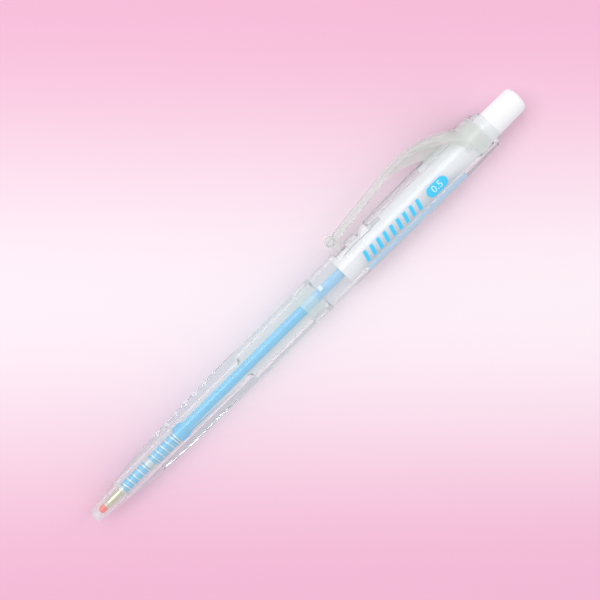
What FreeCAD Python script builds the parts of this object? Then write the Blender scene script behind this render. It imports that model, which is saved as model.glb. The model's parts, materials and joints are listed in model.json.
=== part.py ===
import FreeCAD, Part
import math
import os
import Sketcher

# A retractable ballpoint pen with a clear barrel, a white push button and a clear clip
# whose foot also lets the button out again. Lengths are in millimetres and angles in degrees.
# Each piece is drawn with the pen's axis along X, the nose end at X = 0, the button towards +X
# and the clip towards +Y. At the end all pieces get one placement, which lays the pen down.

os.makedirs("parts", exist_ok=True)
document = FreeCAD.newDocument("BallpointPen")
sheet = document.addObject("Spreadsheet::Sheet", "Sizes")

SIZES = {
    # Lower barrel: a cone, a long swell and a straight stretch up to the seam
    "nose_radius": 1.76,
    "nose_edge": 0.35,
    "nose_edge_step": 0.10,
    "cone_length": 15.6,
    "cone_end_radius": 3.55,
    "swell_length": 29.4,
    "swell_middle_length": 14.4,
    "swell_middle_radius": 4.39,
    "barrel_radius": 4.70,
    "lower_barrel_length": 75.7,
    "tip_bore_length": 2.6,
    "spring_seat_place": 9.0,
    "spring_bore_end": 50.7,
    "bore_cone_length": 1.2,
    "wide_bore_radius": 3.10,
    # Finger grip: three flats, with ridges on the one below the clip
    "grip_flats": 3,
    "grip_start": 20.4,
    "grip_run_in": 1.1,
    "grip_start_height": 3.50,
    "grip_length": 32.0,
    "ridge_count": 6,
    "ridge_lead": 4.60,
    "ridge_pitch": 3.38,
    "ridge_radius": 0.50,
    "ridge_height": 0.24,
    "ridge_length": 3.30,
    # Joint between the barrels
    "spigot_length": 4.20,
    "spigot_radius": 3.95,
    "spigot_clearance": 0.03,
    "spigot_bore_radius": 3.00,
    "collar_length": 1.40,
    "collar_radius": 4.87,
    # Upper barrel
    "neck_radius": 4.74,
    "neck_length": 7.50,
    "step_radius": 4.88,
    "belly_length": 38.4,
    "belly_radius": 5.40,
    "shoulder_length": 2.20,
    "shoulder_radius": 5.28,
    "strap_setback": 2.80,
    "head_rim_length": 1.00,
    "head_end_radius": 5.08,
    "mouth_length": 1.90,
    "mouth_lip": 0.18,
    "bore_lead_length": 0.65,
    "bore_lead_place": 0.90,
    # Latch windows and rail on the clip's side
    "latch_edge_setback": 11.70,
    "latch_travel": 6.80,
    "lower_window_length": 4.00,
    "upper_window_length": 3.55,
    "window_draft": 0.70,
    "window_floor_height": 2.98,
    "rail_height": 5.03,
    "rail_bevel": 0.70,
    "rib_slot_setback": 1.90,
    "rib_slot_length": 11.30,
    # Clip
    "strap_length": 4.20,
    "strap_radius": 5.50,
    "strap_thickness": 0.90,
    "strap_half_angle": 122.0,
    "bridge_drop": 0.20,
    "bridge_half_width": 5.10,
    "bridge_pull_lead": 4.20,
    "strap_end_round": 1.60,
    "strap_seat_gap": 0.15,
    "strap_side_gap": 0.30,
    "root_length": 1.60,
    "root_half_angle": 86.0,
    "root_gap_angle": 4.0,
    "root_lift": 0.32,
    "arm_end_lead": 0.35,
    "arm_end_top": 8.05,
    "arm_end_bottom": 6.70,
    "arm_top_back": 21.0,
    "arm_top_height": 10.22,
    "arm_bottom_height": 9.02,
    "crest_end_back": 8.20,
    "crest_end_top": 9.42,
    "crest_pull_back": 13.7,
    "crest_pull_top": 11.06,
    "crest_bottom_back": 9.50,
    "crest_bottom_height": 8.90,
    "crest_pull_bottom_back": 13.0,
    "crest_pull_bottom": 10.01,
    "brow_pull_back": 4.60,
    "brow_pull_top": 8.33,
    "brow_pull_bottom_back": 5.20,
    "brow_pull_bottom": 7.53,
    "arm_end_half_width": 1.45,
    "arm_half_width": 1.75,
    "flare_end_back": 3.20,
    "flare_half_width": 5.05,
    "flare_round": 48.0,
    "ball_lead": 0.35,
    "ball_height": 7.70,
    "ball_radius": 1.53,
    "foot_setback": 1.65,
    "foot_tip_height": 4.40,
    "foot_tip_half_length": 0.25,
    "foot_top_height": 7.20,
    "foot_top_half_length": 1.75,
    "foot_thickness": 1.80,
    "rib_thickness": 1.20,
    "rib_clearance": 0.20,
    "rib_front_gap": 2.30,
    "rib_end_gap": 0.60,
    "rib_bottom_height": 4.00,
    "rib_start_back": 20.8,
    "rib_start_height": 9.30,
    "rib_pull_back": 15.6,
    "rib_pull_height": 7.75,
    "rib_knee_height": 5.80,
    "rib_end_height": 6.50,
    # Plunger: sleeve and push button in one moulding
    "sleeve_lead": 0.20,
    "sleeve_radius": 3.40,
    "sleeve_bore_radius": 2.20,
    "ring_setback": 3.20,
    "ring_chamfer": 0.40,
    "button_radius": 3.55,
    "button_clearance": 0.10,
    "button_dome_rise": 0.35,
    "button_top_radius": 3.40,
    "button_side_length": 10.90,
    "button_edge_length": 1.45,
    "button_edge_inset": 1.20,
    "button_step_length": 0.80,
    "button_step_inset": 0.22,
    "button_corner_length": 1.28,
    "button_corner_inset": 0.72,
    "socket_length": 12.0,
    "socket_clearance": 0.04,
    "core_radius": 0.90,
    "button_wall": 4.40,
    "tongue_setback": 8.70,
    "tongue_lip": 0.90,
    "tongue_end_gap": 2.80,
    "tongue_side_gap": 0.45,
    "tongue_half_angle": 26.0,
    "tooth_slope_length": 1.50,
    "tooth_length": 2.70,
    "tooth_height": 4.35,
    "tooth_thickness": 2.60,
    "tooth_play": 0.05,
    # Refill
    "tube_reach": 31.4,
    "tube_radius": 1.35,
    "tube_bore_radius": 0.90,
    "tube_clearance": 0.20,
    "ear_length": 2.90,
    "ear_reach": 1.95,
    "ear_thickness": 0.60,
    "ear_clearance": 0.20,
    "ink_end": 70.30,
    "ink_gap": 0.02,
    "follower_length": 3.60,
    "tip_end_place": 2.35,
    "tip_length": 7.85,
    "tip_end_radius": 0.34,
    "tip_cone_length": 2.75,
    "tip_radius": 1.03,
    "tip_clearance": 0.17,
    "tip_stem_length": 3.80,
    "tip_channel_radius": 0.20,
    "ball_seat_depth": 0.34,
    "writing_ball_radius": 0.25,
    "ball_play": 0.02,
    "ball_reach": 0.15,
    "wax_length": 1.85,
    "wax_radius": 0.90,
    "wax_nose_length": 0.65,
    "wax_front_gap": 0.05,
    "wax_cover": 0.20,
    # Return spring
    "wire_radius": 0.18,
    "coil_radius": 1.62,
    "closed_pitch": 0.42,
    "end_turns": 1.5,
    "open_turns": 5.0,
    "middle_turns": 4,
    "spring_end_gap": 0.25,
    "spring_room": 19.4,
}

for row, (name, value) in enumerate(SIZES.items(), start=1):
    sheet.set("A" + str(row), name)
    sheet.set("B" + str(row), str(value))
    sheet.setAlias("B" + str(row), name)
document.recompute()


def size(name):
    """The number that the sheet holds under a name."""
    return float(sheet.get(name))


def total(words):
    """Add up sheet names written as 'first + second - third'; no words mean zero."""
    result = 0.0
    sign = 1.0
    for word in words.split():
        if word in "+-":
            sign = 1.0 if word == "+" else -1.0
        else:
            result += sign * size(word)
            sign = 1.0
    return result


def formula(words):
    """The same sum as an expression on the sheet."""
    return " ".join(word if word in "+-" else "Sizes." + word for word in words.split())


def new_body(label):
    body = document.addObject("PartDesign::Body", "Body_" + label)
    body.Label = label
    return body


def new_sketch(body, name, plane):
    """An empty sketch on one of the body's own origin planes."""
    sketch = body.newObject("Sketcher::SketchObject", name)
    for feature in body.Origin.OriginFeatures:
        if feature.Role == plane:
            sketch.AttachmentSupport = [(feature, "")]
    sketch.MapMode = "FlatFace"
    return sketch


def arc_between(start, end, radius, side):
    """The shorter arc from start to end that bulges to the left (side 1) or right (side -1)."""
    middle = (start + end) * 0.5
    along = end - start
    half = along.Length / 2
    left = FreeCAD.Vector(-along.y, along.x, 0).normalize()
    sagitta = radius - math.sqrt(max(radius * radius - half * half, 0.0))
    return Part.Arc(start, middle + left * side * sagitta, end)


def dome_between(start, end):
    """The arc from start to end whose centre lies on the pen's axis."""
    centre_place = ((end.x ** 2 + end.y ** 2) - (start.x ** 2 + start.y ** 2)) / (
        2 * (end.x - start.x))
    centre = FreeCAD.Vector(centre_place, 0, 0)
    middle = (start + end) * 0.5 - centre
    middle.normalize()
    return Part.Arc(start, centre + middle * (start - centre).Length, end)


def hold_point(sketch, geometry, end, across, up):
    """Tie a point of the sketch to sums of sheet values, measured from the origin."""
    origin, start_point, x_axis, y_axis = -1, 1, -1, -2
    if up:
        place = Sketcher.Constraint("DistanceY", origin, start_point, geometry, end, total(up))
        sketch.setExpression("Constraints[%d]" % sketch.addConstraint(place), formula(up))
    else:
        sketch.addConstraint(Sketcher.Constraint("PointOnObject", geometry, end, x_axis))
    if across:
        place = Sketcher.Constraint("DistanceX", origin, start_point, geometry, end, total(across))
        sketch.setExpression("Constraints[%d]" % sketch.addConstraint(place), formula(across))
    else:
        sketch.addConstraint(Sketcher.Constraint("PointOnObject", geometry, end, y_axis))


DOME = "dome"


def draw_outline(sketch, corners, rounds=None, pulls=()):
    """Draw a closed outline through its corners.

    rounds gives, for the side after a corner, an arc's radius and the hand it bulges to, or DOME
    for an arc centred on the pen's axis. A corner named in pulls isn't on the outline: it is the
    middle pole of a smooth curve between the corners beside it.
    """
    rounds = rounds or {}
    points = [FreeCAD.Vector(total(across), total(up), 0) for across, up in corners]
    ends = []
    for index, start in enumerate(points):
        if index in pulls:
            continue
        following = (index + 1) % len(points)
        if following in pulls:
            pole = points[following]
            finish = points[(following + 1) % len(points)]
            curve = Part.BSplineCurve([start, pole, finish], None, None, False, 2, None, False)
            geometry = sketch.addGeometry(curve, False)
            sketch.exposeInternalGeometry(geometry)
            pole_circle = geometry + 2
            hold_point(sketch, pole_circle, 3, *corners[following])
        elif rounds.get(index) == DOME:
            geometry = sketch.addGeometry(dome_between(start, points[following]), False)
            sketch.addConstraint(Sketcher.Constraint("PointOnObject", geometry, 3, -1))
        elif index in rounds:
            radius, side = rounds[index]
            arc = arc_between(start, points[following], size(radius), side)
            geometry = sketch.addGeometry(arc, False)
            value = Sketcher.Constraint("Radius", geometry, size(radius))
            sketch.setExpression("Constraints[%d]" % sketch.addConstraint(value), formula(radius))
        else:
            geometry = sketch.addGeometry(Part.LineSegment(start, points[following]), False)
        starts_first = (sketch.getPoint(geometry, 1) - start).Length < 1e-6
        first, last = (1, 2) if starts_first else (2, 1)
        ends.append((geometry, first, last, corners[index]))
    for index, (geometry, _, last, _) in enumerate(ends):
        next_side, next_first, _, _ = ends[(index + 1) % len(ends)]
        sketch.addConstraint(
            Sketcher.Constraint("Coincident", geometry, last, next_side, next_first))
    for geometry, first, _, corner in ends:
        hold_point(sketch, geometry, first, *corner)
    return sketch


def outline(body, name, plane, corners, rounds=None, pulls=()):
    return draw_outline(new_sketch(body, name, plane), corners, rounds, pulls)


def turned(body, kind, name, sketch, half_angle=None):
    """Turn a profile about the pen's axis, all round or half_angle to each side of the clip."""
    feature = body.newObject("PartDesign::" + kind, name)
    feature.Profile = (sketch, [""])
    feature.ReferenceAxis = (sketch, ["H_Axis"])
    if half_angle:
        feature.Midplane = True
        feature.setExpression("Angle", "2 * (" + formula(half_angle) + ")")
    sketch.Visibility = False
    return feature


def both_sides(body, kind, name, sketch, width):
    """Pad or pocket a sketch evenly to both sides of its plane."""
    feature = body.newObject("PartDesign::" + kind, name)
    feature.Profile = (sketch, [""])
    feature.SideType = "Symmetric"
    feature.setExpression("Length", width)
    sketch.Visibility = False
    return feature


def add_ball(body, name, radius, across, up):
    """A ball in the plane of the clip, at sums of sheet values."""
    ball = body.newObject("PartDesign::AdditiveSphere", name)
    for feature in body.Origin.OriginFeatures:
        if feature.Role == "XY_Plane":
            ball.AttachmentSupport = [(feature, "")]
    ball.MapMode = "FlatFace"
    ball.setExpression("Radius", formula(radius))
    ball.setExpression("AttachmentOffset.Base.x", formula(across))
    if up:
        ball.setExpression("AttachmentOffset.Base.y", formula(up))


# Shared places along the pen
SEAM = "lower_barrel_length"
NECK_END = SEAM + " + collar_length + neck_length"
BELLY_END = NECK_END + " + belly_length"
SHOULDER_END = BELLY_END + " + shoulder_length"
STRAP_START = SHOULDER_END + " + strap_setback"
STRAP_END = STRAP_START + " + strap_length"
HEAD_SIDE_END = STRAP_END + " + head_rim_length"
HEAD_END = HEAD_SIDE_END + " + mouth_length"
LATCH_EDGE = NECK_END + " + latch_edge_setback"
LOWER_EDGE = LATCH_EDGE + " - latch_travel"
FOOT = LOWER_EDGE + " - foot_setback"
ARM_END = FOOT + " + arm_end_lead"
ARM_TOP_END = STRAP_START + " - arm_top_back"
CREST_END = STRAP_START + " - crest_end_back"
CREST_BOTTOM_END = STRAP_START + " - crest_bottom_back"
CREST_PULL_BOTTOM = STRAP_START + " - crest_pull_bottom_back"
BROW_PULL_BOTTOM = STRAP_START + " - brow_pull_bottom_back"
RIB_SLOT_END = STRAP_START + " - rib_slot_setback"
RIB_SLOT_START = RIB_SLOT_END + " - rib_slot_length"
SLEEVE_START = NECK_END + " - sleeve_lead"
RING_START = HEAD_END + " - ring_setback"
BUTTON_SIDE_END = RING_START + " + ring_chamfer + button_side_length"
BUTTON_EDGE_END = BUTTON_SIDE_END + " + button_edge_length"
BUTTON_END = BUTTON_EDGE_END + " + button_dome_rise"
TONGUE_START = LATCH_EDGE + " - tongue_setback"
TONGUE_END = LATCH_EDGE + " + tongue_lip"
TUBE_START = "tip_end_place + tip_length"
TUBE_END = NECK_END + " + tube_reach"
EAR_START = "spring_seat_place + spring_room"
STRAP_INSIDE = "strap_radius - strap_thickness"
ROOT_START = STRAP_START + " - root_length"
SEAT_FLOOR = STRAP_INSIDE + " - strap_seat_gap"
UPPER_BORE = "button_radius + button_clearance"
ACROSS_PEN = "4 * Sizes.belly_radius"
OUTSIDE = "belly_radius + belly_radius"


def make_lower_barrel():
    """Clear moulding: stepped bore, three grip flats and ridges on the flat below the clip."""
    body = new_body("lower_barrel")
    cone_end = "cone_length"
    swell_end = "cone_length + swell_length"
    spigot_start = SEAM + " - spigot_length"
    tip_bore = "tip_radius + tip_clearance"
    tube_bore = "tube_radius + tube_clearance"
    spring_bore = "ear_reach + ear_clearance"
    socket = "spigot_radius + spigot_clearance"
    profile = outline(body, "BarrelProfile", "XY_Plane", [
        ("nose_edge", "nose_radius"),
        (cone_end, "cone_end_radius"),
        ("cone_length + swell_middle_length", "swell_middle_radius"),
        (swell_end, "barrel_radius"),
        (SEAM, "barrel_radius"),
        (SEAM, socket),
        (spigot_start, socket),
        (spigot_start, "wide_bore_radius"),
        ("spring_bore_end + bore_cone_length", "wide_bore_radius"),
        ("spring_bore_end", spring_bore),
        ("spring_seat_place", spring_bore),
        ("spring_seat_place", tube_bore),
        ("tip_bore_length", tube_bore),
        ("tip_bore_length", tip_bore),
        ("", tip_bore),
        ("", "nose_radius - nose_edge"),
        ("nose_edge_step", "nose_radius - nose_edge_step"),
    ])
    turned(body, "Revolution", "BarrelShell", profile)

    flat = outline(body, "GripFlatLine", "XY_Plane", [
        ("grip_start - grip_run_in", "barrel_radius"),
        ("grip_start", "grip_start_height"),
        ("grip_start + grip_length", "barrel_radius"),
        ("grip_start + grip_length", OUTSIDE),
        ("grip_start - grip_run_in", OUTSIDE),
    ])
    first_flat = both_sides(body, "Pocket", "GripFlat", flat, ACROSS_PEN)
    flats = body.newObject("PartDesign::PolarPattern", "GripFlats")
    flats.Originals = [first_flat]
    flats.Axis = (flat, ["H_Axis"])
    flats.Angle = 360
    flats.setExpression("Occurrences", "Sizes.grip_flats")
    body.Tip = flats
    document.recompute()

    rounds = new_sketch(body, "RidgeRounds", "XY_Plane")
    slope = "(Sizes.barrel_radius - Sizes.grip_start_height) / Sizes.grip_length"
    for index in range(int(size("ridge_count"))):
        place = "Sizes.grip_start + Sizes.ridge_lead + %d * Sizes.ridge_pitch" % index
        height = ("Sizes.grip_start_height + (" + place + " - Sizes.grip_start) * " + slope
                  + " + Sizes.ridge_height - Sizes.ridge_radius")
        across = total("grip_start + ridge_lead") + index * size("ridge_pitch")
        centre = FreeCAD.Vector(across, size("grip_start_height"), 0)
        circle = sketch_circle(rounds, centre, "ridge_radius")
        across_hold = Sketcher.Constraint("DistanceX", -1, 1, circle, 3, centre.x)
        rounds.setExpression("Constraints[%d]" % rounds.addConstraint(across_hold), place)
        up_hold = Sketcher.Constraint("DistanceY", -1, 1, circle, 3, centre.y)
        rounds.setExpression("Constraints[%d]" % rounds.addConstraint(up_hold), height)
    both_sides(body, "Pad", "Ridges", rounds, "Sizes.ridge_length")
    return body


def sketch_circle(sketch, centre, radius):
    circle = sketch.addGeometry(
        Part.Circle(centre, FreeCAD.Vector(0, 0, 1), size(radius)), False)
    value = Sketcher.Constraint("Radius", circle, size(radius))
    sketch.setExpression("Constraints[%d]" % sketch.addConstraint(value), formula(radius))
    return circle


def make_upper_barrel():
    """Clear moulding: spigot, collar, belly, head, latch windows, rail, rib slot and clip seat."""
    body = new_body("upper_barrel")
    spigot_start = SEAM + " - spigot_length"
    profile = outline(body, "UpperProfile", "XY_Plane", [
        (spigot_start, "spigot_radius"),
        (SEAM, "spigot_radius"),
        (SEAM, "collar_radius"),
        (SEAM + " + collar_length", "collar_radius"),
        (SEAM + " + collar_length", "neck_radius"),
        (NECK_END, "neck_radius"),
        (NECK_END, "step_radius"),
        (BELLY_END, "belly_radius"),
        (SHOULDER_END, "shoulder_radius"),
        (HEAD_SIDE_END, "head_end_radius"),
        (HEAD_END, UPPER_BORE + " + mouth_lip"),
        (HEAD_END, UPPER_BORE),
        (SEAM + " + bore_lead_place + bore_lead_length", UPPER_BORE),
        (SEAM + " + bore_lead_place", "spigot_bore_radius"),
        (spigot_start, "spigot_bore_radius"),
    ])
    turned(body, "Revolution", "UpperShell", profile)

    windows = (("LowerWindow", LOWER_EDGE, "lower_window_length"),
               ("UpperWindow", LATCH_EDGE, "upper_window_length"))
    for name, edge, length in windows:
        opening = outline(body, name + "Side", "XY_Plane", [
            (edge + " - " + length + " + window_draft", "window_floor_height"),
            (edge, "window_floor_height"),
            (edge, OUTSIDE),
            (edge + " - " + length, OUTSIDE),
            (edge + " - " + length, "rail_height"),
        ])
        both_sides(body, "Pocket", name, opening, ACROSS_PEN)

    rail = outline(body, "RailSide", "XY_Plane", [
        (LATCH_EDGE, "rail_height - rail_bevel"),
        (LATCH_EDGE + " + rail_bevel", "rail_height"),
        (STRAP_START, "rail_height"),
        (STRAP_START, OUTSIDE),
        (LATCH_EDGE, OUTSIDE),
    ])
    both_sides(body, "Pocket", "RailFlat", rail, ACROSS_PEN)

    slot = outline(body, "RibSlotSide", "XY_Plane", [
        (RIB_SLOT_START, "window_floor_height"),
        (RIB_SLOT_END, "window_floor_height"),
        (RIB_SLOT_END, OUTSIDE),
        (RIB_SLOT_START, OUTSIDE),
    ])
    both_sides(body, "Pocket", "RibSlot", slot, "Sizes.rib_thickness + 2 * Sizes.rib_clearance")

    strap_seat = outline(body, "StrapSeatSide", "XY_Plane", [
        (STRAP_START + " - strap_side_gap", SEAT_FLOOR),
        (STRAP_END + " + strap_side_gap", SEAT_FLOOR),
        (STRAP_END + " + strap_side_gap", OUTSIDE),
        (STRAP_START + " - strap_side_gap", OUTSIDE),
    ])
    turned(body, "Groove", "StrapSeat", strap_seat, "strap_half_angle + root_gap_angle")
    root_seat = outline(body, "RootSeatSide", "XY_Plane", [
        (ROOT_START + " - strap_side_gap", SEAT_FLOOR),
        (STRAP_START, SEAT_FLOOR),
        (STRAP_START, OUTSIDE),
        (ROOT_START + " - strap_side_gap", OUTSIDE),
    ])
    turned(body, "Groove", "RootSeat", root_seat, "root_half_angle + root_gap_angle")
    return body


def make_clip():
    """Clear moulding: a curved band that widens into a saddle, with rib, foot and ball end."""
    body = new_body("clip")
    band = outline(body, "BandSide", "XY_Plane", [
        (ARM_END, "arm_end_top"),
        (ARM_TOP_END, "arm_top_height"),
        (STRAP_START + " - crest_pull_back", "crest_pull_top"),
        (CREST_END, "crest_end_top"),
        (STRAP_START + " - brow_pull_back", "brow_pull_top"),
        (STRAP_START, "strap_radius"),
        (STRAP_START, STRAP_INSIDE),
        (ROOT_START, STRAP_INSIDE),
        (ROOT_START, "belly_radius + root_lift"),
        (BROW_PULL_BOTTOM, "brow_pull_bottom"),
        (CREST_BOTTOM_END, "crest_bottom_height"),
        (CREST_PULL_BOTTOM, "crest_pull_bottom"),
        (ARM_TOP_END, "arm_bottom_height"),
        (ARM_END, "arm_end_bottom"),
    ], pulls=(2, 4, 9, 11))
    turned(body, "Revolution", "Band", band, "root_half_angle")

    for name, sign in (("FlareLeft", ""), ("FlareRight", "- ")):
        beyond = sign + "arm_top_height " + (sign or "+ ") + "ball_radius"
        sides = outline(body, name + "Line", "XZ_Plane", [
            (ARM_END, sign + "arm_end_half_width"),
            (ARM_TOP_END, sign + "arm_half_width"),
            (STRAP_START + " - flare_end_back", sign + "flare_half_width"),
            (STRAP_START, sign + "strap_radius"),
            (STRAP_START, beyond),
            (ARM_END, beyond),
        ], {1: ("flare_round", 1 if sign else -1)})
        both_sides(body, "Pocket", name, sides, "4 * Sizes.arm_top_height")

    strap = outline(body, "StrapSide", "XY_Plane", [
        (STRAP_START, STRAP_INSIDE),
        (STRAP_END, STRAP_INSIDE),
        (STRAP_END, "strap_radius"),
        (STRAP_START, "strap_radius"),
    ])
    turned(body, "Revolution", "Strap", strap, "strap_half_angle")
    document.recompute()
    round_strap_ends(body)

    # Behind a curved crease the top of the strap lies lower than the clip's root.
    cut = outline(body, "BridgeLine", "XZ_Plane", [
        (STRAP_END, "- bridge_half_width"),
        (STRAP_START + " - bridge_pull_lead", ""),
        (STRAP_END, "bridge_half_width"),
    ], pulls=(1,))
    bridge = both_sides(body, "Pocket", "BridgeCut", cut, "Sizes.strap_radius")
    bridge.SideType = "One side"
    bridge_side = outline(body, "BridgeSide", "XY_Plane", [
        (STRAP_START, STRAP_INSIDE),
        (STRAP_END, STRAP_INSIDE),
        (STRAP_END, "strap_radius - bridge_drop"),
        (STRAP_START, "strap_radius - bridge_drop"),
    ])
    turned(body, "Revolution", "Bridge", bridge_side, "root_half_angle")

    rib = outline(body, "RibSide", "XY_Plane", [
        (STRAP_START + " - rib_start_back", "rib_start_height"),
        (STRAP_START + " - rib_pull_back", "rib_pull_height"),
        (RIB_SLOT_START + " + rib_front_gap", "rib_knee_height"),
        (RIB_SLOT_START + " + rib_front_gap", "rib_bottom_height"),
        (RIB_SLOT_END + " - rib_end_gap", "rib_bottom_height"),
        (RIB_SLOT_END + " - rib_end_gap", "rib_end_height"),
        (BROW_PULL_BOTTOM, "brow_pull_bottom + root_lift"),
        (CREST_BOTTOM_END, "crest_bottom_height + root_lift"),
        (CREST_PULL_BOTTOM, "crest_pull_bottom + root_lift"),
    ], pulls=(1, 6, 8))
    both_sides(body, "Pad", "Rib", rib, "Sizes.rib_thickness")

    foot = outline(body, "FootSide", "XY_Plane", [
        (FOOT + " - foot_tip_half_length", "foot_tip_height"),
        (FOOT + " + foot_tip_half_length", "foot_tip_height"),
        (FOOT + " + foot_top_half_length", "foot_top_height"),
        (FOOT + " - foot_top_half_length", "foot_top_height"),
    ])
    both_sides(body, "Pad", "Foot", foot, "Sizes.foot_thickness")

    add_ball(body, "BallEnd", "ball_radius", FOOT + " - ball_lead", "ball_height")
    return body


def round_strap_ends(body):
    """Round the two free ends of the strap, on the edges that run outwards from the axis."""
    low = total(STRAP_START)
    high = low + size("strap_length")
    names = []
    for index, edge in enumerate(body.Tip.Shape.Edges, start=1):
        first = edge.Vertexes[0].Point
        last = edge.Vertexes[-1].Point
        reach = [math.hypot(point.y, point.z) for point in (first, last)]
        turn = math.degrees(math.atan2(abs(first.z), first.y))
        runs_outwards = (abs(first.x - last.x) < 1e-6
                         and abs(abs(reach[0] - reach[1]) - size("strap_thickness")) < 1e-6)
        at_end = abs(turn - size("strap_half_angle")) < 1e-3
        on_side = min(abs(first.x - low), abs(first.x - high)) < 1e-6
        if runs_outwards and at_end and on_side:
            names.append("Edge%d" % index)
    if len(names) != 4:
        raise RuntimeError("the strap should have four outward edges, found %d" % len(names))
    fillet = body.newObject("PartDesign::Fillet", "StrapEndRounds")
    fillet.Base = (body.Group[body.Group.index(fillet) - 1], names)
    fillet.setExpression("Radius", "min(Sizes.strap_end_round; 0.45 * Sizes.strap_length)")


def make_plunger():
    """White moulding: sleeve with a cut-out for the latch tongue, and the push button."""
    body = new_body("plunger")
    socket_bore = "tube_radius + socket_clearance"
    dome_start = "button_top_radius - button_edge_inset"
    profile = outline(body, "PlungerProfile", "XY_Plane", [
        (SLEEVE_START, "sleeve_radius"),
        (RING_START, "sleeve_radius"),
        (RING_START + " + ring_chamfer", "button_radius"),
        (BUTTON_SIDE_END, "button_top_radius"),
        (BUTTON_SIDE_END + " + button_step_length", "button_top_radius - button_step_inset"),
        (BUTTON_SIDE_END + " + button_corner_length", "button_top_radius - button_corner_inset"),
        (BUTTON_EDGE_END, dome_start),
        (BUTTON_END, ""),
        (BUTTON_END + " - button_wall", ""),
        (BUTTON_END + " - button_wall", "core_radius"),
        (TUBE_END, "core_radius"),
        (TUBE_END, socket_bore),
        (TUBE_END + " - socket_length", socket_bore),
        (TUBE_END + " - socket_length", "sleeve_bore_radius"),
        (SLEEVE_START, "sleeve_bore_radius"),
    ], {6: DOME})
    turned(body, "Revolution", "SleeveAndButton", profile)

    cut = outline(body, "TongueCutSide", "XY_Plane", [
        (TONGUE_START, "tube_radius"),
        (TONGUE_END + " + tongue_end_gap", "tube_radius"),
        (TONGUE_END + " + tongue_end_gap", OUTSIDE),
        (TONGUE_START, OUTSIDE),
    ])
    width = "2 * (Sizes.sleeve_radius * sin(Sizes.tongue_half_angle * 1 deg) + Sizes.tongue_side_gap)"
    both_sides(body, "Pocket", "TongueCut", cut, width)
    return body


def make_latch_tongue():
    """The springy tongue of the sleeve, with the latch tooth at its free end."""
    body = new_body("latch_tongue")
    strip = outline(body, "TongueSide", "XY_Plane", [
        (TONGUE_START, "sleeve_bore_radius"),
        (TONGUE_END, "sleeve_bore_radius"),
        (TONGUE_END, "sleeve_radius"),
        (TONGUE_START, "sleeve_radius"),
    ])
    turned(body, "Revolution", "Tongue", strip, "tongue_half_angle")
    tooth_end = LATCH_EDGE + " - tooth_play"
    tooth = outline(body, "ToothSide", "XY_Plane", [
        (tooth_end + " - tooth_length", "window_floor_height"),
        (tooth_end, "window_floor_height"),
        (tooth_end, "tooth_height"),
        (tooth_end + " - tooth_length + tooth_slope_length", "tooth_height"),
        (tooth_end + " - tooth_length", "sleeve_radius"),
    ])
    both_sides(body, "Pad", "Tooth", tooth, "Sizes.tooth_thickness")
    return body


def make_refill_tube():
    """Pale blue extruded tube, crimped flat in one place so that two ears carry the spring."""
    body = new_body("refill_tube")
    profile = outline(body, "TubeProfile", "XY_Plane", [
        (TUBE_START, "tube_bore_radius"),
        (TUBE_END, "tube_bore_radius"),
        (TUBE_END, "tube_radius"),
        (TUBE_START, "tube_radius"),
    ])
    turned(body, "Revolution", "Tube", profile)
    for name, sign in (("EarTop", ""), ("EarBottom", "- ")):
        ear = outline(body, name + "Side", "XY_Plane", [
            (EAR_START, sign + "tube_bore_radius"),
            (EAR_START, sign + "ear_reach"),
            (EAR_START + " + ear_length - ear_thickness", sign + "ear_reach"),
            (EAR_START + " + ear_length", sign + "tube_radius"),
            (EAR_START + " + ear_length", sign + "tube_bore_radius"),
        ])
        both_sides(body, "Pad", name, ear, "Sizes.ear_thickness")
    return body


def make_round_piece(label, corners, rounds=None):
    """A piece that is a single turned or poured form about the pen's axis."""
    body = new_body(label)
    profile = outline(body, label + "_profile", "XY_Plane", corners, rounds)
    turned(body, "Revolution", label + "_form", profile)
    return body


def make_ink_pieces():
    """The ink fills the tube behind the tip's stem, and a plug of grease follows it."""
    stem_end = TUBE_START + " + tip_stem_length"
    ink_radius = "tube_bore_radius - ink_gap"
    ink = make_round_piece("ink_column", [
        (stem_end, ""),
        ("ink_end", ""),
        ("ink_end", ink_radius),
        (stem_end, ink_radius),
    ])
    follower = make_round_piece("ink_follower", [
        ("ink_end", ""),
        ("ink_end + follower_length", ""),
        ("ink_end + follower_length", ink_radius),
        ("ink_end", ink_radius),
    ])
    return [ink, follower]


def make_tip_pieces():
    """Turned metal tip with its ball, and the wax drop that seals them on a new pen."""
    cone_end = "tip_end_place + tip_cone_length"
    stem_radius = "tube_bore_radius - ink_gap"
    seat_radius = "writing_ball_radius + ball_play"
    seat_end = "tip_end_place + ball_seat_depth"
    stem_end = TUBE_START + " + tip_stem_length"
    tip = make_round_piece("tip_body", [
        ("tip_end_place", seat_radius),
        ("tip_end_place", "tip_end_radius"),
        (cone_end, "tip_radius"),
        (TUBE_START, "tip_radius"),
        (TUBE_START, stem_radius),
        (stem_end, stem_radius),
        (stem_end, "tip_channel_radius"),
        (seat_end + " + ball_play", "tip_channel_radius"),
        (seat_end, seat_radius),
    ])
    ball = new_body("tip_ball")
    ball_place = "tip_end_place - ball_reach + writing_ball_radius"
    add_ball(ball, "WritingBall", "writing_ball_radius", ball_place, "")

    cavity_start = "tip_end_place - ball_reach - wax_front_gap"
    wax_start = cavity_start + " - wax_cover"
    wax = make_round_piece("wax_seal", [
        (wax_start, ""),
        (wax_start + " + wax_nose_length", "wax_radius"),
        (wax_start + " + wax_length", "wax_radius"),
        (wax_start + " + wax_length", ""),
    ], {0: DOME})
    cavity = outline(wax, "WaxCavity", "XY_Plane", [
        (cavity_start, ""),
        (cavity_start, "tip_end_radius"),
        ("tip_end_place", "tip_end_radius"),
        (cone_end, "tip_radius"),
        (cone_end, ""),
    ])
    turned(wax, "Groove", "TipCavity", cavity)
    return [tip, ball, wax]


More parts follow.
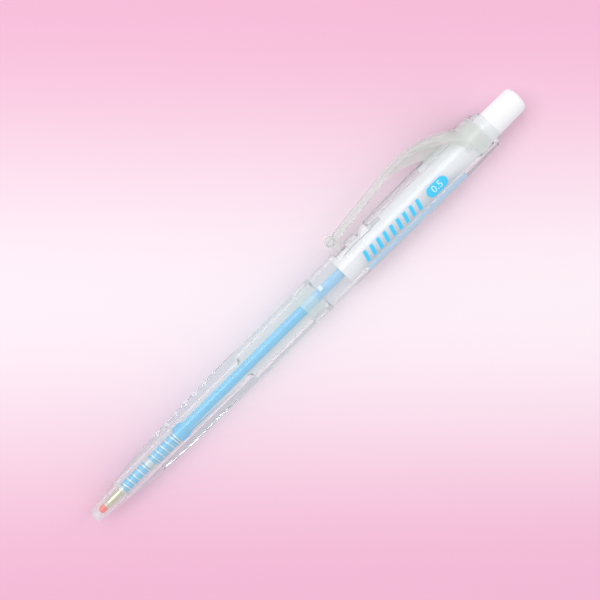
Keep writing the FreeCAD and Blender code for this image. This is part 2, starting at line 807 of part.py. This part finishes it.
def make_return_spring():
    """Steel coil spring: closed ends, a closed group in the middle and open turns between."""
    start = size("spring_seat_place") + size("spring_end_gap")
    length = total(EAR_START + " - spring_end_gap") - start
    closed_turns = 2 * size("end_turns") + size("middle_turns")
    open_pitch = (length - closed_turns * size("closed_pitch")) / (2 * size("open_turns"))
    runs = [(size("end_turns"), size("closed_pitch")),
            (size("open_turns"), open_pitch),
            (size("middle_turns"), size("closed_pitch")),
            (size("open_turns"), open_pitch),
            (size("end_turns"), size("closed_pitch"))]
    turn_step_count = 10
    wire_side_count = 6
    centres = []
    place = start
    turn = 0.0
    for turns, pitch in runs:
        steps = int(round(turns * turn_step_count))
        for step in range(steps):
            around = 2 * math.pi * (turn + turns * step / steps)
            centres.append(FreeCAD.Vector(place + pitch * turns * step / steps,
                                          size("coil_radius") * math.cos(around),
                                          size("coil_radius") * math.sin(around)))
        place += turns * pitch
        turn += turns
    sections = []
    for index, centre in enumerate(centres):
        before = centres[max(index - 1, 0)]
        after = centres[min(index + 1, len(centres) - 1)]
        along = (after - before).normalize()
        outwards = FreeCAD.Vector(0, centre.y, centre.z).normalize()
        sideways = along.cross(outwards).normalize()
        outwards = sideways.cross(along).normalize()
        corners = []
        for side in range(wire_side_count):
            around = 2 * math.pi * side / wire_side_count
            corners.append(centre + outwards * size("wire_radius") * math.cos(around)
                           + sideways * size("wire_radius") * math.sin(around))
        sections.append(Part.makePolygon(corners + corners[:1]))
    spring = document.addObject("Part::Feature", "ReturnSpring")
    spring.Label = "return_spring"
    spring.Shape = Part.makeLoft(sections, True, True)
    return spring


def lowest_point(piece, tilt):
    """How low a piece reaches when the pen is turned about its axis by a tilt."""
    shape = piece.Shape.copy()
    shape.Placement = FreeCAD.Placement(
        FreeCAD.Vector(), FreeCAD.Rotation(FreeCAD.Vector(1, 0, 0), -tilt))
    return shape.optimalBoundingBox(False).ZMin


def rest_placement(pieces, clip):
    """Lay the pen down: belly and clip touch the table, and the origin is under its middle."""
    low_tilt = -20.0
    high_tilt = 40.0
    halvings = 16
    level_within = 0.002
    for _ in range(halvings):
        tilt = (low_tilt + high_tilt) / 2
        if lowest_point(clip, tilt) > -size("strap_radius") - level_within:
            low_tilt = tilt
        else:
            high_tilt = tilt
    turn = FreeCAD.Placement(FreeCAD.Vector(), FreeCAD.Rotation(FreeCAD.Vector(1, 0, 0), -low_tilt))
    box = FreeCAD.BoundBox()
    for piece in pieces:
        shape = piece.Shape.copy()
        shape.Placement = turn
        box.add(shape.optimalBoundingBox(False))
    shift = FreeCAD.Vector(-box.Center.x, -box.Center.y, -box.ZMin)
    return FreeCAD.Placement(shift, turn.Rotation), low_tilt


def check_features(piece):
    """Every feature of a body has to change its solid."""
    volume = 0.0
    for feature in piece.Group:
        if not feature.isDerivedFrom("PartDesign::Feature"):
            continue
        if abs(feature.Shape.Volume - volume) < 1e-4:
            raise RuntimeError(piece.Label + ": " + feature.Name + " changes nothing")
        volume = feature.Shape.Volume


pieces = [make_lower_barrel(), make_upper_barrel(), make_clip(), make_plunger(),
          make_latch_tongue(), make_refill_tube()]
pieces += make_ink_pieces()
pieces += make_tip_pieces()
pieces.append(make_return_spring())
document.recompute()

for item in document.Objects:
    if "Invalid" in item.State or "Error" in item.State:
        raise RuntimeError(item.Name + " is " + str(item.State))
for piece in pieces:
    if piece.Shape.isNull() or not piece.Shape.isValid():
        raise RuntimeError(piece.Label + " has no valid shape")
    if piece.isDerivedFrom("PartDesign::Body"):
        check_features(piece)

clip = pieces[2]
placement, tilt = rest_placement(pieces, clip)
for piece in pieces:
    piece.Placement = placement
document.recompute()
for piece in pieces:
    piece.Shape.exportStep("parts/" + piece.Label + ".step")
    box = piece.Shape.optimalBoundingBox(False)
    print(piece.Label, "solids", len(piece.Shape.Solids), "volume", round(piece.Shape.Volume, 2),
          "x", round(box.XMin, 2), round(box.XMax, 2), "y", round(box.YMin, 2), round(box.YMax, 2),
          "z", round(box.ZMin, 2), round(box.ZMax, 2))
print("tilt", round(tilt, 3), "shift", placement.Base)
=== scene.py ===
import bpy
import json
import math
from mathutils import Matrix, Vector


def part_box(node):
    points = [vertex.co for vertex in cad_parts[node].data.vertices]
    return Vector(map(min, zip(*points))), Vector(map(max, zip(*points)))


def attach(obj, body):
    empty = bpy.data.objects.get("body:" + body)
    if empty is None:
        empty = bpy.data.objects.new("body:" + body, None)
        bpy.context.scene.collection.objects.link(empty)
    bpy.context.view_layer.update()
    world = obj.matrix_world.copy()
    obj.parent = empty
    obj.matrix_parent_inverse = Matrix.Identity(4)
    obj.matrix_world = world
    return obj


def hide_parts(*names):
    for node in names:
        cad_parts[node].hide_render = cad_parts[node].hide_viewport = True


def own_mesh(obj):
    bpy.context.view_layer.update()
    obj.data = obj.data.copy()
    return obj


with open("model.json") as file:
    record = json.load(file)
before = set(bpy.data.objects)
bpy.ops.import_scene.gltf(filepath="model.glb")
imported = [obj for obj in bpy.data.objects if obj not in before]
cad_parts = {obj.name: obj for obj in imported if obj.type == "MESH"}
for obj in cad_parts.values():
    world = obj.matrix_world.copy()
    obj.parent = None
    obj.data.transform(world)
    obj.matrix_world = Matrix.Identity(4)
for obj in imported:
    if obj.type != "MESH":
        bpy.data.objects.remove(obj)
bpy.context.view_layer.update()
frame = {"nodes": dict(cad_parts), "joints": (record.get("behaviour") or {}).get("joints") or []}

# Lower barrel: one injection moulding of clear polystyrene, polished outside, with a stepped bore
# and a three-flat grip that has six small ridges. The spring, the refill and the upper barrel's
# spigot go in from behind.

MM = 0.001


def linear(hex_colour, alpha=1.0):
    """An sRGB hex colour as the linear numbers that a shader reads."""
    channels = []
    for start in (1, 3, 5):
        value = int(hex_colour[start:start + 2], 16) / 255
        channels.append(value / 12.92 if value <= 0.04045 else ((value + 0.055) / 1.055) ** 2.4)
    return (*channels, alpha)


def add_node(material, kind, settings, links=None):
    """Add a shader node, fill its inputs or properties, and link other nodes' outputs to it."""
    node = material.node_tree.nodes.new("ShaderNode" + kind)
    for name, value in settings.items():
        if isinstance(name, int) or name in node.inputs:
            node.inputs[name].default_value = value
        else:
            setattr(node, name, value)
    for name, output in (links or {}).items():
        material.node_tree.links.new(output, node.inputs[name])
    return node


def new_material(name):
    material = bpy.data.materials.new(name)
    material.use_nodes = True
    material.node_tree.nodes.clear()
    return material


def finish_material(material, shader):
    add_node(material, "OutputMaterial", {}, {"Surface": shader.outputs[0]})
    return material


def dress(node_name, material):
    """Give a CAD node its finished material."""
    mesh = frame["nodes"][node_name].data
    mesh.materials.clear()
    mesh.materials.append(material)


def lit_through(material, shader, tint):
    """Let lamp light and the room's light through a clear wall, so that it reaches the inside."""
    path = add_node(material, "LightPath", {})
    passing = add_node(material, "Math", {"operation": "MAXIMUM"},
                       {0: path.outputs["Is Shadow Ray"], 1: path.outputs["Is Diffuse Ray"]})
    clear = add_node(material, "BsdfTransparent", {"Color": linear(tint)})
    return add_node(material, "MixShader", {},
                    {0: passing.outputs[0], 1: shader.outputs[0], 2: clear.outputs[0]})


def ridge_mask(material, place):
    """One on the six grip ridges, which lie across the flat below the clip, and nought elsewhere."""
    first, pitch, count = -47.5 * MM, 3.38 * MM, 6
    ridge_half, flat_half, axis_height, flat_start = 0.26 * MM, 1.66 * MM, 5.5 * MM, 0.9 * MM
    row_middle = first + (count - 1) * pitch / 2
    axes = add_node(material, "SeparateXYZ", {}, {0: place.outputs["Object"]})
    from_first = add_node(material, "Math", {"operation": "SUBTRACT", 1: first}, {0: axes.outputs["X"]})
    to_nearest = add_node(material, "Math", {"operation": "PINGPONG", 1: pitch / 2},
                          {0: from_first.outputs[0]})
    on_ridge = add_node(material, "Math", {"operation": "LESS_THAN", 1: ridge_half},
                        {0: to_nearest.outputs[0]})
    in_row = add_node(material, "Math", {"operation": "COMPARE", 1: row_middle, 2: count * pitch / 2},
                      {0: axes.outputs["X"]})
    on_flat = add_node(material, "Math", {"operation": "COMPARE", 1: axis_height, 2: flat_half},
                       {0: axes.outputs["Z"]})
    clip_side = add_node(material, "Math", {"operation": "GREATER_THAN", 1: flat_start},
                         {0: axes.outputs["Y"]})
    mask = on_ridge
    for test in (in_row, on_flat, clip_side):
        mask = add_node(material, "Math", {"operation": "MULTIPLY"},
                        {0: mask.outputs[0], 1: test.outputs[0]})
    return mask


def clear_moulding(name, tint, flow_mm, clearness, ridges=False):
    """Clear polystyrene: glassy, with a faint unevenness where the melt flowed into the mould.

    Clearness is the share of light that goes through; the rest makes the wall slightly milky.
    The IOR is below polystyrene's 1.59, because at 1.59 the thin walls mirror a dark inside.
    """
    across, along = 1 / (flow_mm * MM), 1 / (30 * flow_mm * MM)
    material = new_material(name)
    place = add_node(material, "TexCoord", {})
    flow = add_node(material, "Mapping", {"Scale": (along, across, across)},
                    {"Vector": place.outputs["Object"]})
    waves = add_node(material, "TexNoise", {"Scale": 1.0, "Detail": 2.0}, {"Vector": flow.outputs[0]})
    bump = add_node(material, "Bump", {"Strength": 0.1, "Distance": 0.002 * MM},
                    {"Height": waves.outputs[0]})
    haze = add_node(material, "MapRange", {"To Min": 0.015, "To Max": 0.05},
                    {"Value": waves.outputs[0]})
    shader = add_node(material, "BsdfPrincipled",
                      {"Base Color": linear(tint), "IOR": 1.26, "Transmission Weight": clearness},
                      {"Roughness": haze.outputs[0], "Normal": bump.outputs[0]})
    if ridges:
        # The ridges are made less clear, so they look whiter than the wall: a painted highlight for the
        # glints on their sides.
        ridge_painted_highlight = add_node(material, "MapRange", {"To Min": clearness, "To Max": 0.35},
                           {"Value": ridge_mask(material, place).outputs[0]})
        material.node_tree.links.new(ridge_painted_highlight.outputs[0], shader.inputs["Transmission Weight"])
    return finish_material(material, lit_through(material, shader, tint))


dress("lower_barrel", clear_moulding("clear_polystyrene_barrel", "#F6FAF9", 0.8, 0.87, ridges=True))

# Upper barrel: a second moulding of the same clear polystyrene, held in the lower barrel by its
# spigot. It has the two latch windows, the flat rail, the slot for the clip's rib and the head.

dress("upper_barrel", clear_moulding("clear_polystyrene_head", "#F6F7F8", 0.8, 0.80))

# Clip: one clear moulding of a tougher styrene, a touch greyer than the barrels. Its strap is
# snapped over the head, and its rib stands in the slot of the upper barrel.

dress("clip", clear_moulding("clear_styrene_clip", "#ECEEEC", 0.7, 0.70))

# Plunger and latch tongue: one moulding of white ABS, a button, a sleeve round the refill and a
# springy tongue cut from the sleeve. It is satin all over and slides in the upper barrel.


def white_moulding():
    """White ABS: even and slightly glossy. The real grain is finer and is drawn 0.35 mm coarse."""
    material = new_material("white_abs_satin")
    place = add_node(material, "TexCoord", {})
    grain = add_node(material, "TexNoise", {"Scale": 1 / (0.35 * MM), "Detail": 3.0},
                     {"Vector": place.outputs["Object"]})
    bump = add_node(material, "Bump", {"Strength": 0.15, "Distance": 0.01 * MM},
                    {"Height": grain.outputs[0]})
    gloss = add_node(material, "MapRange", {"To Min": 0.24, "To Max": 0.36},
                     {"Value": grain.outputs[0]})
    shade = add_node(material, "MixRGB", {"Color1": linear("#F1F1F4"), "Color2": linear("#F5F5F8")},
                     {"Fac": grain.outputs[0]})
    shader = add_node(material, "BsdfPrincipled",
                      {"IOR": 1.52, "Subsurface Weight": 0.08, "Subsurface Scale": 0.6 * MM},
                      {"Base Color": shade.outputs[0], "Roughness": gloss.outputs[0],
                       "Normal": bump.outputs[0]})
    return finish_material(material, shader)


white_abs = white_moulding()
dress("plunger", white_abs)
dress("latch_tongue", white_abs)

# Refill: an extruded tube of blue polypropylene, filled with blue ink and closed behind the ink by
# a plug of clear grease. Two ears are crimped from the tube's own wall to carry the spring.


def soft_plastic(name, colours, clearness, gloss, streak_mm):
    """A drawn or poured soft material, with streaks twelve times as long as they are wide."""
    across, along = 1 / (streak_mm * MM), 1 / (12 * streak_mm * MM)
    material = new_material(name)
    place = add_node(material, "TexCoord", {})
    drawn = add_node(material, "Mapping", {"Scale": (along, across, across)},
                     {"Vector": place.outputs["Object"]})
    streaks = add_node(material, "TexNoise", {"Scale": 1.0, "Detail": 3.0},
                       {"Vector": drawn.outputs[0]})
    shade = add_node(material, "MixRGB", {"Color1": linear(colours[0]), "Color2": linear(colours[1])},
                     {"Fac": streaks.outputs[0]})
    bump = add_node(material, "Bump", {"Strength": 0.2, "Distance": 0.01 * MM},
                    {"Height": streaks.outputs[0]})
    haze = add_node(material, "MapRange", {"To Min": gloss, "To Max": gloss + 0.08},
                    {"Value": streaks.outputs[0]})
    shader = add_node(material, "BsdfPrincipled", {"IOR": 1.49, "Transmission Weight": clearness},
                      {"Base Color": shade.outputs[0], "Roughness": haze.outputs[0],
                       "Normal": bump.outputs[0]})
    return finish_material(material, shader)


dress("refill_tube", soft_plastic("pale_blue_polypropylene", ("#08AEF0", "#3CC6FC"), 0.05, 0.16, 0.8))
dress("ink_column", soft_plastic("blue_gel_ink", ("#18A8EC", "#3DBEF6"), 0.0, 0.10, 0.5))
dress("ink_follower", soft_plastic("clear_grease", ("#D5E6EC", "#E4EFF2"), 0.5, 0.20, 0.7))

# Writing tip: a cone turned from nickel silver and pressed into the tube, with a carbide ball
# swaged into its point. A drop of red wax, dipped on at the works, seals a new refill.


def turned_metal(name, colour, gloss, ring_mm):
    """Metal with fine rings from the tool round the pen's axis, which draw its gloss out along it."""
    material = new_material(name)
    place = add_node(material, "TexCoord", {})
    rings = add_node(material, "TexWave",
                     {"bands_direction": "X", "Scale": 1 / (6.283 * ring_mm * MM),
                      "Distortion": 0.6, "Detail": 2.0},
                     {"Vector": place.outputs["Object"]})
    bump = add_node(material, "Bump", {"Strength": 0.3, "Distance": 0.01 * MM},
                    {"Height": rings.outputs[0]})
    haze = add_node(material, "MapRange", {"To Min": gloss, "To Max": gloss + 0.12},
                    {"Value": rings.outputs[0]})
    shader = add_node(material, "BsdfPrincipled", {"Base Color": linear(colour), "Metallic": 1.0},
                      {"Roughness": haze.outputs[0], "Normal": bump.outputs[0]})
    return finish_material(material, shader)


dress("tip_body", turned_metal("turned_nickel_silver", "#DDD5B4", 0.16, 0.12))
dress("tip_ball", turned_metal("ground_carbide_ball", "#A9A9AC", 0.08, 0.05))
dress("wax_seal", soft_plastic("red_sealing_wax", ("#FF1200", "#FF2404"), 0.0, 0.30, 0.4))

# Return spring: hard-drawn steel wire, coiled with closed ends and a closed group in its middle.
# It sits between the seat in the lower barrel and the refill's ears. The real one shortens with the
# button; this one is drawn at rest length and rides with the barrel.

# The pen lies turned about its own axis, as the axis of the clip's hinge shows.
tilt = math.atan2(*frame["joints"][1]["axis"][1:])
ink_low, ink_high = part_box("ink_column")
nose_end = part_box("lower_barrel")[0].x
on_pen = Matrix.Translation((nose_end, (ink_low.y + ink_high.y) / 2, (ink_low.z + ink_high.z) / 2)) \
    @ Matrix.Rotation(-tilt, 4, "X")


def select_only(piece):
    bpy.ops.object.select_all(action="DESELECT")
    piece.select_set(True)
    bpy.context.view_layer.objects.active = piece


def put_on_pen(piece, body):
    """Lay a piece that is drawn along X from the nose end into the pen, and let it ride."""
    piece.matrix_world = on_pen @ piece.matrix_world
    select_only(piece)
    bpy.ops.object.transform_apply(location=True, rotation=True, scale=True)
    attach(piece, body)


def apply_modifiers(piece):
    select_only(piece)
    for modifier in list(piece.modifiers):
        bpy.ops.object.modifier_apply(modifier=modifier.name)


spring_start = 9.25 * MM
spring_end = 28.15 * MM
coil_radius = 1.62 * MM
wire_radius = 0.18 * MM
closed_pitch = 0.42 * MM
end_turns, middle_turns, open_turns = 1.5, 4, 5
closed_turns = 2 * end_turns + middle_turns
open_pitch = (spring_end - spring_start - closed_turns * closed_pitch) / (2 * open_turns)
coils = []
place, turned = spring_start, 0.0
for turns, pitch in ((end_turns, closed_pitch), (open_turns, open_pitch), (middle_turns, closed_pitch),
                     (open_turns, open_pitch), (end_turns, closed_pitch)):
    bpy.ops.object.select_all(action="DESELECT")
    bpy.ops.mesh.primitive_circle_add(vertices=10, radius=wire_radius,
                                      location=(place, coil_radius, 0))
    coil = bpy.context.object
    bpy.ops.object.transform_apply(location=True, rotation=True, scale=True)
    screw = coil.modifiers.new("wind", "SCREW")
    screw.axis = "X"
    screw.angle = turns * 2 * math.pi
    screw.screw_offset = turns * pitch
    screw.steps = screw.render_steps = int(turns * 28)
    screw.use_smooth_shade = True
    apply_modifiers(coil)
    coil.matrix_world = Matrix.Rotation(turned, 4, "X")
    bpy.ops.object.transform_apply(location=True, rotation=True, scale=True)
    coils.append(coil)
    place += turns * pitch
    turned += turns * 2 * math.pi
bpy.ops.object.select_all(action="DESELECT")
for coil in coils:
    coil.select_set(True)
spring = coils[0]
bpy.context.view_layer.objects.active = spring
bpy.ops.object.join()
spring.name = "return_spring_wire"
bpy.ops.object.mode_set(mode="EDIT")
bpy.ops.mesh.select_all(action="SELECT")
bpy.ops.mesh.remove_doubles(threshold=0.002 * MM)
bpy.ops.mesh.fill_holes(sides=0)
bpy.ops.mesh.normals_make_consistent(inside=False)
bpy.ops.object.mode_set(mode="OBJECT")
spring.data.materials.append(turned_metal("drawn_spring_steel", "#F0F2F5", 0.30, 0.20))
put_on_pen(spring, "barrel")
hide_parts("return_spring")
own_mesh(spring)

# Marks on the upper barrel: a small pale frosted patch on the neck, which is a painted highlight,
# and print of sky blue ink laid on by a soft pad. The print is a row of slanted bars, a pill with
# the line width in it, and a pale see-through stripe along the lower side.


def printed(name, colours, cover):
    """Pad-printing ink: thin, even and less glossy than the plastic, with 0.25 mm speckle."""
    material = new_material(name)
    place = add_node(material, "TexCoord", {})
    speckle = add_node(material, "TexNoise", {"Scale": 1 / (0.25 * MM), "Detail": 4.0},
                       {"Vector": place.outputs["Object"]})
    shade = add_node(material, "MixRGB", {"Color1": linear(colours[0]), "Color2": linear(colours[1])},
                     {"Fac": speckle.outputs[0]})
    haze = add_node(material, "MapRange", {"To Min": 0.28, "To Max": 0.45},
                    {"Value": speckle.outputs[0]})
    shader = add_node(material, "BsdfPrincipled", {"Alpha": cover},
                      {"Base Color": shade.outputs[0], "Roughness": haze.outputs[0]})
    return finish_material(material, shader)


def flat_patch(name, length, width, strips=1):
    """A flat patch of film, which lies along X and is cut into strips across."""
    bpy.ops.object.select_all(action="DESELECT")
    bpy.ops.mesh.primitive_grid_add(x_subdivisions=strips, y_subdivisions=1, size=1)
    patch = bpy.context.object
    patch.name = name
    patch.scale = (length, width, 1)
    bpy.ops.object.transform_apply(location=False, rotation=False, scale=True)
    return patch


def wrap_print(piece, place, around, material, lift=0.004 * MM):
    """Press a flat print onto the barrel, at a place along it and an angle from the clip."""
    strip_width, film_thickness, above_barrel = 0.3 * MM, 0.012 * MM, 7 * MM
    select_only(piece)
    bpy.ops.object.mode_set(mode="EDIT")
    half = max(abs(v.co.y) for v in piece.data.vertices)
    cuts = max(2, int(2 * half / strip_width))
    for cut in range(1, cuts):
        bpy.ops.mesh.select_all(action="SELECT")
        bpy.ops.mesh.bisect(plane_co=(0, half * (2 * cut / cuts - 1), 0), plane_no=(0, 1, 0))
    bpy.ops.object.mode_set(mode="OBJECT")
    turn = Matrix.Rotation(around - math.pi / 2, 4, "X")
    piece.matrix_world = on_pen @ Matrix.Translation((place, 0, 0)) @ turn \
        @ Matrix.Translation((0, 0, above_barrel))
    press = piece.modifiers.new("press", "SHRINKWRAP")
    press.target = frame["nodes"]["upper_barrel"]
    press.wrap_method = "PROJECT"
    press.use_project_z = True
    press.use_negative_direction = True
    press.use_positive_direction = False
    press.offset = lift
    apply_modifiers(piece)
    film = piece.modifiers.new("film", "SOLIDIFY")
    film.thickness = film_thickness
    film.offset = 1
    apply_modifiers(piece)
    bpy.ops.object.transform_apply(location=True, rotation=True, scale=True)
    piece.data.materials.clear()
    piece.data.materials.append(material)
    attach(piece, "barrel")


# A small pale see-through patch on the neck, painted where a highlight shows.
highlight_patch_place, highlight_patch_angle = 77.9 * MM, math.radians(65)
highlight_patch = flat_patch("painted_highlight_patch", 1.0 * MM, 1.2 * MM)
wrap_print(highlight_patch, highlight_patch_place, highlight_patch_angle, printed("painted_highlight_frost", ("#DCEFF8", "#EAF6FB"), 0.75))

sky_print = printed("sky_blue_pad_print", ("#35C4F7", "#4BCFFA"), 1.0)
print_angle = math.radians(94)
bar_height, bar_width, bar_slant = 2.8 * MM, 1.0 * MM, 0.7 * MM
bar_count, first_bar, bar_pitch = 9, 91.0 * MM, 2.2 * MM
bars = [flat_patch("print_bar_1", bar_width, bar_height)]
bpy.ops.object.mode_set(mode="EDIT")
bpy.ops.mesh.select_all(action="DESELECT")
bpy.ops.object.mode_set(mode="OBJECT")
for vertex in bars[0].data.vertices:
    vertex.select = vertex.co.y > 0
bpy.ops.object.mode_set(mode="EDIT")
bpy.ops.transform.translate(value=(bar_slant, 0, 0))
bpy.ops.object.mode_set(mode="OBJECT")
for number in range(2, bar_count + 1):
    select_only(bars[0])
    bpy.ops.object.duplicate()
    copy = bpy.context.object
    copy.name = "print_bar_%d" % number
    bars.append(copy)
for number, bar in enumerate(bars):
    wrap_print(bar, first_bar + number * bar_pitch, print_angle, sky_print)

pill_length, pill_width, pill_place = 6.3 * MM, 2.9 * MM, 115.1 * MM
pill = flat_patch("print_pill", pill_length, pill_width)
bpy.ops.object.mode_set(mode="EDIT")
bpy.ops.mesh.select_all(action="SELECT")
bpy.ops.mesh.bevel(offset=pill_width * 0.499, segments=10, affect="VERTICES", clamp_overlap=False)
bpy.ops.object.mode_set(mode="OBJECT")
wrap_print(pill, pill_place, print_angle, sky_print)

bpy.ops.object.select_all(action="DESELECT")
bpy.ops.object.text_add()
digits = bpy.context.object
digits.data.body = "0.5"
digits.data.size = 2.6 * MM
digits.data.align_x = "CENTER"
digits.data.align_y = "CENTER"
digits.data.offset = 0.02 * MM
bpy.ops.object.convert(target="MESH")
digits = bpy.context.object
digits.name = "print_digits"
digits.rotation_euler = (0, 0, 0)
digit_print = printed("pale_blue_pad_print", ("#C4EEFC", "#D5F3FD"), 1.0)
wrap_print(digits, pill_place, print_angle, digit_print, lift=0.018 * MM)

stripe_length, stripe_width = 32.5 * MM, 2.5 * MM
stripe_place, stripe_angle = 106.0 * MM, math.radians(134)
stripe = flat_patch("print_stripe", stripe_length, stripe_width, strips=12)
stripe_print = printed("pale_blue_stripe_print", ("#BFE0FA", "#CCE7FC"), 0.7)
wrap_print(stripe, stripe_place, stripe_angle, stripe_print)

# Light and camera: a white room with a large soft window on the clip's side and a smaller one
# past the button. Both stand far off, so that the table is lit evenly. The camera looks down from
# the side of the clip, with the pen across the picture from corner to corner.

world = bpy.data.worlds.new("soft_room")
bpy.context.scene.world = world
world.use_nodes = True
world.node_tree.nodes["Background"].inputs["Color"].default_value = (1.0, 1.0, 1.0, 1.0)
world.node_tree.nodes["Background"].inputs["Strength"].default_value = 0.73


def softbox(name, place, size, power):
    light = bpy.data.lights.new(name, "AREA")
    light.shape = "RECTANGLE"
    light.size, light.size_y = size
    light.energy = power
    lamp = bpy.data.objects.new(name, light)
    bpy.context.scene.collection.objects.link(lamp)
    lamp.location = place
    lamp.rotation_euler = (-Vector(place)).to_track_quat("-Z", "Y").to_euler()
    return lamp


softbox("window_side", (-0.09, 0.76, 1.08), (1.26, 0.63), 7.0)
softbox("button_end", (1.08, -0.10, 0.90), (0.36, 1.08), 2.4)

pen_length = 145 * MM
middle = on_pen @ Vector((pen_length / 2, 0, 0))
towards = Vector((0, 0.263, 0.965)).normalized()
level_right = Vector((1, 0, 0))
level_up = towards.cross(level_right)
roll = math.radians(44.83)
right = level_right * math.cos(roll) - level_up * math.sin(roll)
up = level_right * math.sin(roll) + level_up * math.cos(roll)
frame_width = 145.5 * MM
camera_data = bpy.data.cameras.new("camera")
camera_data.lens = 150
camera_data.sensor_width = 36
distance = frame_width * camera_data.lens / camera_data.sensor_width
camera = bpy.data.objects.new("camera", camera_data)
bpy.context.scene.collection.objects.link(camera)
shift_left, shift_up = 1.62 * MM, 1.58 * MM
target = middle - right * shift_left + up * shift_up
camera.matrix_world = Matrix((
    (right.x, up.x, towards.x, target.x + towards.x * distance),
    (right.y, up.y, towards.y, target.y + towards.y * distance),
    (right.z, up.z, towards.z, target.z + towards.z * distance),
    (0, 0, 0, 1)))
camera_data.clip_start = 0.01
bpy.context.scene.camera = camera
bpy.context.scene.view_settings.view_transform = "Standard"
bpy.context.scene.cycles.max_bounces = 24
bpy.context.scene.cycles.transmission_bounces = 24

# Table: matt pink card, paler in a band across the middle of the picture. The camera, clear
# plastic and metal see the pink, and the light that the table throws back is left neutral.

bpy.ops.object.select_all(action="DESELECT")
bpy.ops.mesh.primitive_plane_add(size=4)
floor = bpy.context.object
floor.name = "table_top"
table = new_material("matt_pink_table")
spot = add_node(table, "TexCoord", {})
height = add_node(table, "VectorMath", {"operation": "DOT_PRODUCT", 1: (up.x, up.y, 0)},
                  {0: spot.outputs["Object"]})
from_middle = add_node(table, "Math", {"operation": "SUBTRACT", 1: target.dot(up)},
                       {0: height.outputs["Value"]})
away = add_node(table, "Math", {"operation": "ABSOLUTE"}, {0: from_middle.outputs[0]})
fade = add_node(table, "MapRange", {"interpolation_type": "SMOOTHSTEP", "From Max": frame_width / 2},
                {"Value": away.outputs[0]})
pinks = add_node(table, "MixRGB", {"Color1": linear("#F7E9F1"), "Color2": linear("#EEB6D2")},
                 {"Fac": fade.outputs[0]})
path = add_node(table, "LightPath", {})
mirrored = add_node(table, "Math", {"operation": "MAXIMUM"},
                    {0: path.outputs["Is Glossy Ray"], 1: path.outputs["Is Transmission Ray"]})
seen = add_node(table, "Math", {"operation": "MAXIMUM"},
                {0: path.outputs["Is Camera Ray"], 1: mirrored.outputs[0]})
colour = add_node(table, "MixRGB", {"Color1": linear("#F4F4F4")},
                  {"Fac": seen.outputs[0], "Color2": pinks.outputs[0]})
matt = add_node(table, "BsdfPrincipled", {"Roughness": 0.9, "Specular IOR Level": 0.1},
                {"Base Color": colour.outputs[0]})
finish_material(table, matt)
floor.data.materials.append(table)
